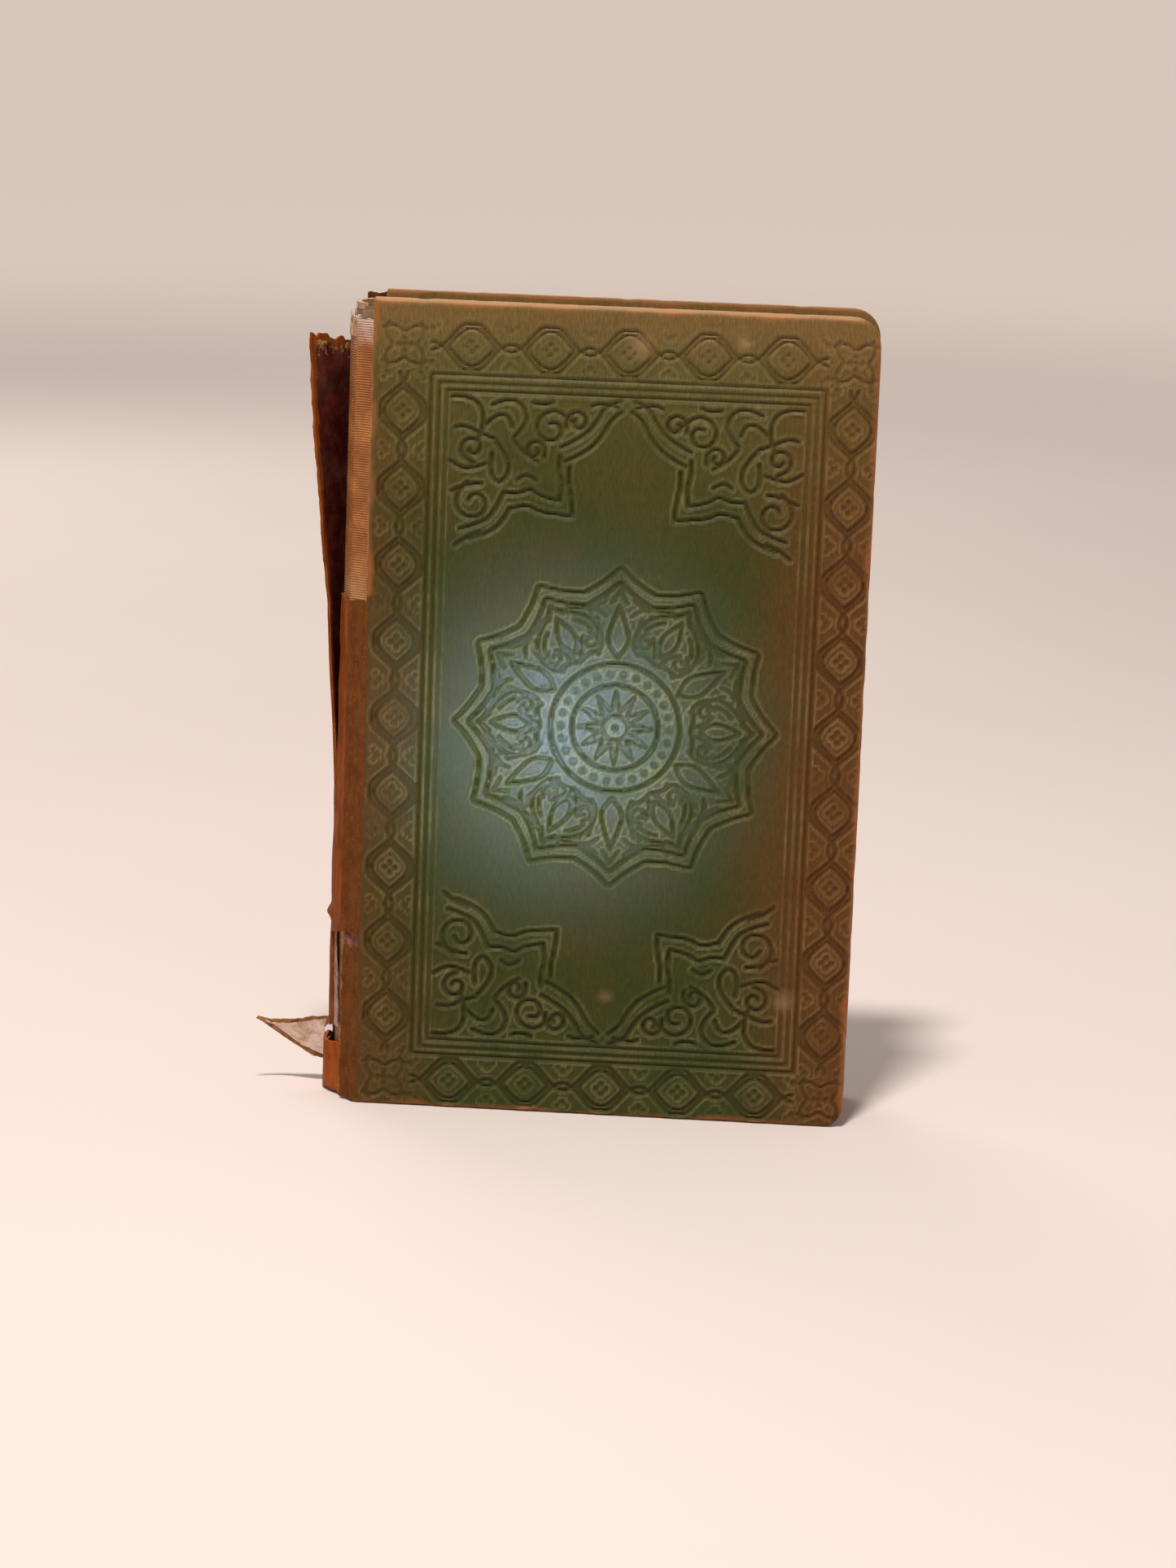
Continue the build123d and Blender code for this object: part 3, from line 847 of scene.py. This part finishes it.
def wrap_sheet(name, place, columns, rows, thickness, outward, material, body, sharp=50.0):
    """Place gives the outer face for (across, along), both from 0 to 1. Outward is where it faces."""
    bm = bmesh.new()
    bmesh.ops.create_grid(bm, x_segments=columns, y_segments=rows, size=0.5)
    for vertex in bm.verts:
        vertex.co = place(vertex.co.x + 0.5, vertex.co.y + 0.5)
    bm.normal_update()
    facing = sum((face.normal * face.calc_area() for face in bm.faces), Vector())
    if facing.dot(Vector(outward)) < 0:
        bmesh.ops.reverse_faces(bm, faces=bm.faces)
        bm.normal_update()
    bmesh.ops.solidify(bm, geom=bm.faces[:], thickness=thickness)
    bm.normal_update()
    return finish_piece(bm, name, material, body, sharp)


def ragged(along, seed, size=0.5, scale=1.0):
    """A torn edge's wandering, in millimetres, at a place along it in millimetres."""
    rough = drift(along / 3.2 * scale, seed, 0.3)
    fine = drift(along / 0.9 * scale, seed, 7.1)
    return size * (rough + 0.6 * fine)


def on_spine(radius, angle, z):
    """A point on the round of the spine. Angle is in degrees, negative towards the front."""
    turn = radians(angle)
    return Vector((spine_centre_x - radius * cos(turn), radius * sin(turn), z * mm))


def step_between(value, low, high):
    amount = min(max((value - low) / (high - low), 0.0), 1.0)
    return amount * amount * (3 - 2 * amount)


# %% [markdown]
# Leather left on the spine
#
# One torn sheet still covers the foot of the spine. At the front it runs up as a narrow tongue
# beside the cover, and below the tear only its rear half remains.

# %% Make the spine leather
tongue_top = 106.0


def spine_leather_place(across, along):
    z = 0.9 + along * (tongue_top - 0.9)
    front_angle = -38.0
    front_angle += (15.0 + (z - 14.5) * 0.35) * (1 - step_between(z, 34.2, 35.8))
    front_angle += (1 - step_between(z, 34.0, 36.0)) * ragged(z, 3.0, 1.6)
    rear_angle = 38.0 - 58.0 * step_between(z, 64.6, 66.6)
    rear_angle += step_between(z, 65.5, 67.0) * ragged(z, 8.0, 1.6)
    if z < 14.5:
        front_angle += (38.0 + ragged(z, 4.4, 1.5)) * (1 - step_between(z, 13.2, 14.5))
    angle = front_angle + across * (rear_angle - front_angle)
    lift = 0.25 * drift(z / 9, angle / 14, 2.0)
    lift += 1.1 * max(1 - abs(z - 38.2) / 1.8, 0.0) * max(1 - abs(angle + 6) / 14, 0.0)
    top = along**30 * ragged(angle * 0.27, 6.0, 1.3)
    return on_spine(spine_radius + (lift - 0.05) * mm, angle, z + top)


spine_sheet = wrap_sheet(
    "torn_spine_leather", spine_leather_place, 44, 190, 0.6 * mm, to_spine, spine_brown,
    "text_block",
)
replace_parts(spine_sheet, "spine_leather", "near_spine_strip")


def inlay_place(across, along):
    z = 14.6 + along * (64.6 - 14.6)
    front_angle = -31.5 + (1 - step_between(z, 34.4, 35.8)) * (z - 14.5) * 0.45 + ragged(z, 12.0, 1.8)
    angle = front_angle + across * (30.0 - front_angle)
    return on_spine(spine_radius - 0.70 * mm, angle, z)


inlay_sheet = wrap_sheet(
    "torn_spine_inlay", inlay_place, 30, 80, 0.22 * mm, to_spine, inlay_paper,
    "text_block",
)
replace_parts(inlay_sheet, "spine_inlay")

# %% [markdown]
# The tail cap
#
# At the foot a scrap of leather is still folded over the tail. It has sprung away from the spine
# and its lower edge is rubbed ragged.


# %% Make the tail cap
def tail_cap_place(across, along):
    z = 0.7 + along * 10.2
    angle = -36.0 + across * 51.0
    tuck = -1.75 * step_between(-angle, 8.0, 36.0)
    z += (1 - along) ** 3 * ragged(angle * 0.28, 21.0, 0.8) + along**4 * ragged(angle * 0.28, 25.0, 0.5)
    return on_spine(spine_radius + (0.85 + tuck) * mm, angle + ragged(z, 30.0, 0.8) * (1 - across) ** 4, z)


def cap_lining_place(across, along):
    z = 1.9 + along * 8.0
    angle = -26.0 + across * 40.0
    tuck = -1.75 * step_between(-angle, 8.0, 36.0)
    return on_spine(spine_radius + (0.12 + tuck) * mm, angle, z)


tail_cap = wrap_sheet(
    "folded_tail_cap", tail_cap_place, 30, 22, 0.7 * mm, to_spine, cap_brown,
    "text_block",
)
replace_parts(tail_cap, "tail_cap")
cap_lining = wrap_sheet(
    "folded_tail_cap_lining", cap_lining_place, 20, 14, 0.2 * mm, to_spine, inlay_paper,
    "text_block",
)
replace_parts(cap_lining, "tail_cap_lining")

# %% [markdown]
# Leather in the joints
#
# Between spine and cover the leather dips into a groove and climbs onto the edge of the cover. The
# lowest sheet rides on the front cover, and the other two belong to no body.

# %% Make the joints
joint_profile = [
    (1.5, 3.16), (0.5, 3.14), (-0.3, 2.85), (-1.2, 1.7), (-2.2, 0.85), (-3.0, 0.42), (-3.9, -0.5),
]


def along_profile(amount):
    place = amount * (len(joint_profile) - 1)
    index = min(int(place), len(joint_profile) - 2)
    share = place - index
    first, second = joint_profile[index], joint_profile[index + 1]
    return first[0] + share * (second[0] - first[0]), first[1] + share * (second[1] - first[1])


def joint_place(side, bottom, top, seed, cover_edge=0.0, torn=0.0):
    def place(across, along):
        z = bottom + along * (top - bottom)
        reach = across * (1.0 - torn * 0.13)
        u, out = along_profile(reach)
        u += (1 - across) ** 5 * (cover_edge + ragged(z, seed, 0.35))
        if torn:
            u += across**6 * ragged(z, seed + 4, 0.45)
        out += 0.10 * drift(u / 2.5, z / 6, seed)
        z += along**40 * ragged(u, seed + 1, 0.8) - (1 - along) ** 40 * ragged(u, seed + 2, 0.4)
        return Vector((board_left + u * mm, side * (hinge_y + out * mm), z * mm))

    return place


near_joint = wrap_sheet(
    "near_joint_leather", joint_place(-1, 36.0, tongue_top, 50.0), 18, 110, 0.35 * mm, to_front, joint_brown,
    None,
)
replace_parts(near_joint, "front_joint_upper")
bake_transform(near_joint)
low_joint = wrap_sheet(
    "low_joint_leather", joint_place(-1, 0.4, 33.0, 60.0, 0.2, 1.0), 18, 60, 0.35 * mm, to_front, joint_brown,
    "front_cover",
)
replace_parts(low_joint, "front_joint_lower")
far_joint = wrap_sheet(
    "far_joint_leather", joint_place(1, 0.5, 167.4, 70.0, 3.0), 20, 200, 0.35 * mm, to_back, joint_brown,
    None,
)
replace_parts(far_joint, "back_joint")
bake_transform(far_joint)

# %% [markdown]
# Bare cloth in the open joint
#
# Above the torn leather the joint shows the ribbed cloth that lines the spine. It still ties the
# block to the cover. The part in the joint belongs to no body. The part on the spine is a sheet of
# its own, because it stays with the block. Beside the tear a scrap of paper is left.


# %% Make the bare joint cloth
bare_bottom = 104.5
bare_top = 163.4
outward_left = (-0.4, -1, 0)


def bare_joint_place(across, along):
    z = bare_bottom + along * (bare_top - bare_bottom)
    u = -0.05 - 3.55 * across
    out = 2.15 - 2.35 * across**0.7
    z += along**30 * ragged(u, 41.0, 0.9)
    return Vector((board_left + u * mm, -(hinge_y + out * mm), z * mm))


def bare_spine_place(across, along):
    z = bare_bottom + along * (bare_top - bare_bottom)
    z += along**30 * ragged(across * 9, 43.0, 0.9)
    share = max((across - 0.12) / 0.88, 0.0)
    joint_corner = Vector((board_left - 3.6 * mm, -(hinge_y - 0.2 * mm), z * mm))
    return joint_corner.lerp(on_spine(14.55 * mm, -39.0 + 30.0 * share, z), min(across / 0.12, 1.0))


bare_joint = wrap_sheet(
    "bare_joint_cloth", bare_joint_place, 14, 90, 0.25 * mm, outward_left, spine_lining, None
)
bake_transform(bare_joint)
wrap_sheet(
    "bare_spine_cloth", bare_spine_place, 24, 90, 0.25 * mm, outward_left, spine_lining, "text_block"
)
scrap_paper = torn_paper("joint scrap", (0.30, 0.13, 0.09), (0.10, 0.03, 0.02), 0.5)


def scrap_place(across, along):
    z = 31.8 + along * (36.6 - 31.8)
    u, out = along_profile(across * 0.86 + 0.02)
    z += along**3 * ragged(u, 46.0, 0.8)
    return Vector((board_left + (u + 0.25) * mm, -(hinge_y + (out - 0.42) * mm), z * mm))


wrap_sheet(
    "torn_joint_scrap", scrap_place, 18, 12, 0.12 * mm, to_front, scrap_paper, "front_cover"
)

# %% [markdown]
# The loose strip
#
# The rear part of the spine leather has let go of the spine. It is still joined to the back
# cover, and it uncurls as it rises, so at the top it stands almost flat and shows its stained
# lining. Leather and lining are two sheets on the same curve.

# %% Make the loose strip
strip_bottom = 65.3
strip_top = 159.3


def on_strip(across, along, inset, back_off):
    """Across runs from the free edge to the rear joint. Back_off is how far inside the outer face."""
    rise = along
    z = strip_bottom + along * (strip_top - strip_bottom)
    root = radians(38.0)
    curl = spine_radius / mm / (1 - 0.95 * rise)
    centre_x = (spine_centre_x - spine_radius * cos(root)) / mm + curl * cos(root)
    centre_y = spine_radius / mm * sin(root) - curl * sin(root)
    widening = min(max((z - 106.0) / 22.0, 0.0), 1.0)
    width = 15.6 + 2.2 * widening - 0.1
    free = inset + ragged(z, 80.0, 0.55) * (1 if inset == 0 else 1.3)
    travel = width - free - across * (width - free - inset * 0.3)
    angle = root - travel / curl
    wave = 0.25 * drift(travel / 5, z / 14, 3.0) * (1 - across)
    radius = curl - back_off + wave
    slope = -3.2 * across**1.5
    torn = ragged(travel, 84.0 + inset, 1.3) + ragged(travel, 87.0, 0.5, 2.4)
    z += along**8 * (slope + torn - inset * 1.1)
    return Vector(((centre_x - radius * cos(angle)) * mm, (centre_y + radius * sin(angle)) * mm, z * mm))


loose_leather = wrap_sheet(
    "loose_spine_strip", lambda a, b: on_strip(a, b, 0.0, 0.0), 22, 120, 0.6 * mm, to_spine, spine_brown,
    None,
)
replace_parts(loose_leather, "loose_spine_leather")
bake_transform(loose_leather)
loose_lining = wrap_sheet(
    "loose_spine_lining", lambda a, b: on_strip(a, b, 1.3, 0.62), 20, 100, 0.2 * mm, to_spine, lining_dark,
    None,
)
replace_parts(loose_lining, "loose_spine_liner")
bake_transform(loose_lining)

# %% [markdown]
# The torn flap
#
# Low on the spine a tongue of leather has been pulled outwards. Scraps of the paper that lined it
# are still stuck to the side that faces the reader, and its tip curls.

# %% Make the torn flap
flap_low, flap_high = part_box("torn_flap_leather")
flap_length = (flap_high[0] - flap_low[0]) / mm


def on_flap(across, along, margin, forward):
    """Across runs from the root to the tip, and along from the lower edge to the upper one."""
    x = across * (flap_length - margin)
    tucked = 1.9 if margin == 0 else 0.4
    root = tucked * step_between(5.2 + along * 9.5, 11.7, 14.0) * (1 - across) ** 5
    share = across * (1 - margin / flap_length)
    lower = 5.2 + margin * 0.7 + 8.9 * share**1.5
    upper = 14.7 - margin * 0.5 - 3.4 * share + 3.1 * share**3
    lower += ragged(x, 90.0 + margin, 0.35) * (1 - share)
    upper += ragged(x, 94.0 + margin, 0.3)
    z = lower + along * (upper - lower)
    curl = -2.4 * max(share - 0.55, 0.0) ** 2 / 0.2
    ripple = 0.5 * sin(share * 5.0 + along * 1.6) * share
    y = 1.5 + curl + ripple - forward
    return Vector((flap_high[0] - (x - root) * mm, y * mm, z * mm))


flap_brown = worn_leather("flap leather", (0.17, 0.060, 0.016), (0.36, 0.17, 0.065), 0.5, 0.7)
flap = wrap_sheet(
    "torn_flap_skin", lambda a, b: on_flap(a, b, 0.0, 0.0), 40, 14, 0.5 * mm, to_front, flap_brown,
    "torn_flap",
)
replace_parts(flap, "torn_flap_leather")
flap_scrap = wrap_sheet(
    "torn_flap_scrap", lambda a, b: on_flap(a, b, 1.5, 0.14), 34, 12, 0.12 * mm, to_front, flap_paper,
    "torn_flap",
)
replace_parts(flap_scrap, "torn_flap_paper")

# %% [markdown]
# Frayed threads at the head
#
# The headband has lost its silk, and the ends of the lining stand up as a pale fringe. Each
# thread is a thin curve, and all of them become one mesh.

# %% Make the frayed threads
def fringe(name, base_z, count, low_angle, high_angle, rise, inset, seed, material):
    tuft = bpy.data.curves.new(name, "CURVE")
    tuft.dimensions = "3D"
    tuft.bevel_depth = 0.09 * mm
    tuft.bevel_resolution = 0
    tuft.resolution_u = 3
    tuft.use_fill_caps = True
    for k in range(count):
        angle = low_angle + (high_angle - low_angle) * (k + 0.5) / count
        lean = drift(k * 0.37, seed, 0)
        reach = rise * (0.65 + 0.5 * drift(k * 0.71, seed, 4))
        radius = spine_radius - (inset + 0.35 * drift(k * 0.53, seed, 9)) * mm
        spline = tuft.splines.new("NURBS")
        spline.points.add(3)
        for step, place in enumerate(spline.points):
            share = step / 3
            bend = lean * share**2
            spot = on_spine(radius + bend * 0.5 * mm, angle + bend * 5, base_z + reach * share)
            place.co = (*spot, 1)
            place.radius = 1 - 0.6 * share
        spline.order_u = 3
        spline.use_endpoint_u = True
    mesh = mesh_of(tuft)
    bm = bmesh.new()
    bm.from_mesh(mesh)
    bpy.data.meshes.remove(mesh)
    return finish_piece(bm, name, material, "text_block")


fringe("head_fringe", 158.2, 150, -33, 33, 7.5, 1.75, 2.0, headband_thread)
fringe("head_fringe_inner", 159.5, 90, -42, -10, 5.6, 1.0, 5.0, headband_thread)
tail_thread = plain_fibre("tail thread", (0.50, 0.33, 0.17), (0.28, 0.14, 0.05), 900)
fringe("tail_fringe", 2.4, 90, -38, 12, -2.3, 0.95, 8.0, tail_thread)

# %% [markdown]
# The sections of pages
#
# The book is sewn in sixteen sections. From outside only their edges show, so each section is a
# few thin slips, cut from a block with its fore-edge corners rounded. Every slip is a hair out of
# line with the next, as old pages are.

# %% Make the sections
slips_in_section = 7
block_radius = 13.49 * mm
page_width = 102.2 * mm
for section in range(1, 17):
    low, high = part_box(f"gathering_{section:02d}")
    bm = bmesh.new()
    pitch = (high[1] - low[1]) / slips_in_section
    for slip in range(slips_in_section):
        y = low[1] + (slip + 0.5) * pitch
        left = spine_centre_x - sqrt(block_radius**2 - y**2)
        jitter = drift(section * 1.7, slip * 0.9, 1.0)
        jitter_z = drift(section * 1.3, slip * 1.1, 8.0)
        right = min(left + page_width + 0.35 * jitter * mm, page_high[0])
        bottom = page_low[2] + 0.2 * (0.5 + jitter_z) * mm
        top = page_high[2] + 0.25 * (jitter_z - 0.5) * mm
        made = bmesh.ops.create_cube(bm, size=1.0)["verts"]
        bmesh.ops.scale(bm, vec=(right - left, pitch * 0.86, top - bottom), verts=made)
        bmesh.ops.translate(bm, vec=((left + right) / 2, y, (bottom + top) / 2), verts=made)
        corners = [e for e in bm.edges if all(v in made and v.co.x > right - 0.1 * mm for v in e.verts)]
        corners = [e for e in corners if abs(e.verts[0].co.z - e.verts[1].co.z) < 0.1 * mm]
        bmesh.ops.bevel(
            bm, geom=corners, offset=4.0 * mm, offset_type="OFFSET",
            segments=4, profile=0.5, affect="EDGES", material=-1,
        )
    piece = finish_piece(bm, f"section_{section:02d}", block_paper, "text_block", 30)
    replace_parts(piece, f"gathering_{section:02d}")

# %% [markdown]
# Finishes for the pieces that keep their shape
#
# The boards, end leaves, pastedowns, linings, tapes and headbands are already right, so they only
# receive their finish.

# %% Finish the kept pieces
kept = {
    "front_board": grey_board,
    "back_board": grey_board,
    "front_pastedown": end_paper,
    "back_pastedown": end_paper,
    "sewing_tapes": tape_linen,
    "spine_mull": tape_linen,
    "spine_paper_lining": spine_lining,
    "headband_head": headband_thread,
    "headband_tail": headband_thread,
}
for leaf in range(1, 7):
    kept[f"front_leaf_{leaf:02d}"] = end_paper
for leaf in range(1, 5):
    kept[f"back_leaf_{leaf:02d}"] = end_paper
for node_name, material in kept.items():
    node = frame["nodes"][node_name]
    if not node.material_slots:
        node.data.materials.append(material)
    for material_slot in node.material_slots:
        material_slot.material = material
print("finished nodes", len(kept))

# %% [markdown]
# The floor
#
# The book stands on a plain pale floor. It stays flat well past the book, then rises like a
# shallow bowl. With distance its colour is painted paler and it has a painted glow, so no horizon
# line shows behind the covers.

# %% Make the floor
bm = bmesh.new()
bmesh.ops.create_grid(bm, x_segments=60, y_segments=60, size=12.0)
for vertex in bm.verts:
    beyond = max(vertex.co.xy.length - 3.5, 0.0)
    vertex.co.z = min(0.05 * beyond**2, 3.0)
floor_mesh = bpy.data.meshes.new("floor")
bm.to_mesh(floor_mesh)
bm.free()
floor = link_object("floor", floor_mesh)
cloth_floor = Finish("pale floor")
soft = cloth_floor.noise(2.4, 4, 0.5)
floor_tone_and_painted_light = cloth_floor.over((0.69, 0.60, 0.555), (0.72, 0.63, 0.59), soft, 0.3, 0.7)
x, y, _ = cloth_floor.axes()
away = cloth_floor.distance(x, y)
# Painted light: further from the book the floor turns paler and glows.
floor_tone_and_painted_light = cloth_floor.over(floor_tone_and_painted_light, (0.98, 0.90, 0.84), away, 0.3, 3.0)
painted_glow = cloth_floor.between(away, 0.5, 2.6, 0.0, 0.30)
cloth_floor.links.new(painted_glow, cloth_floor.shader.inputs["Emission Strength"])
cloth_floor.shader.inputs["Emission Color"].default_value = (1.0, 0.78, 0.66, 1.0)
floor_mesh.materials.append(cloth_floor.finish(floor_tone_and_painted_light, 0.9, None, 0.2))

# %% [markdown]
# Light
#
# A small lamp high in front rakes down over the cover, so that every groove has a dark upper wall
# and a lit lower one. A weaker, bluer lamp low in front shines off the polished middle. A broad
# lamp behind lifts the spine and the far side.

# %% Set the light
world = bpy.data.worlds.new("soft room")
world.use_nodes = True
background = world.node_tree.nodes["Background"]
background.inputs["Color"].default_value = (1.0, 0.93, 0.90, 1.0)
background.inputs["Strength"].default_value = 0.36
bpy.context.scene.world = world


def lamp(name, place, aim, size, power, colour, spread=180):
    light = bpy.data.lights.new(name, "AREA")
    light.shape = "DISK"
    light.size = size
    light.energy = power
    light.color = colour
    light.spread = radians(spread)
    holder = link_object(name, light)
    holder.location = place
    holder.visible_camera = False
    holder.rotation_euler = (Vector(aim) - Vector(place)).to_track_quat("-Z", "Y").to_euler()


lamp("raking lamp", (-0.06, -0.40, 1.10), (0.0, 0.0, 0.08), 0.12, 12.5, (1.0, 0.95, 0.90))
lamp("sheen lamp", (-0.012, -0.30, 0.0145), (0.002, 0.0, 0.082), 0.026, 0.019, (0.50, 0.64, 1.0), 16)
lamp("back lamp", (-0.55, 0.95, 0.75), (0.0, 0.0, 0.08), 0.8, 5.0, (1.0, 0.94, 0.88))
bpy.context.scene.view_settings.view_transform = "Standard"
